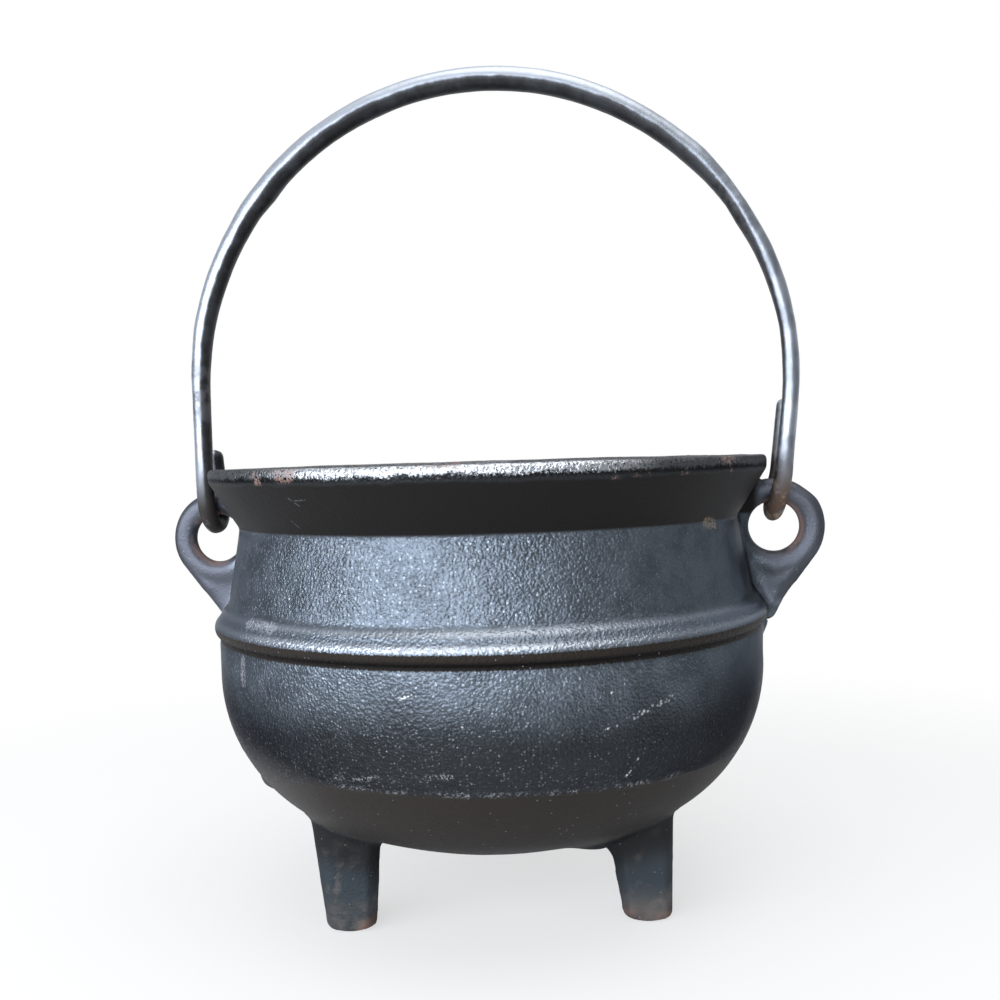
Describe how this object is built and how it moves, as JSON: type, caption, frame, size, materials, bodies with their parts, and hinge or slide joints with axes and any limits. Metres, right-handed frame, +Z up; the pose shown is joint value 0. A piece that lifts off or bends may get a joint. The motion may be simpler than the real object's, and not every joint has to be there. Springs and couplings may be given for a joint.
{
  "type": "three-legged bean pot",
  "caption": "Round-bellied cast-iron cooking pot with a flared rim, looped ears and a swinging forged bail, standing on stub legs.",
  "frame": {"origin": "middle of the pot's axis on the floor under its feet", "axes": "+X towards the right ear, +Y towards the back of the pot, +Z up along the pot's axis"},
  "size_m": [0.245, 0.204, 0.3052],
  "materials": {
    "cast_iron": "rough sand-cast surface, dark grey, seasoned, with a dull sheen and a few rust specks",
    "forged_rod": "hand-forged and hand-worn dark steel rod with a dull sheen and rust at the hooks"
  },
  "bodies": {
    "pot": {"bowl": "cast_iron", "belly_band": "cast_iron", "ear_left": "cast_iron", "ear_right": "cast_iron", "leg_front_left": "cast_iron", "leg_front_right": "cast_iron", "leg_rear": "cast_iron"},
    "bail": {"bail": "forged_rod"}
  },
  "joints": [
    {"name": "bail_swing", "type": "hinge", "parent": "pot", "child": "bail", "pos_m": [0, 0, 0.1488], "axis": [1, 0, 0], "range_deg": [-100, 100]}
  ]
}
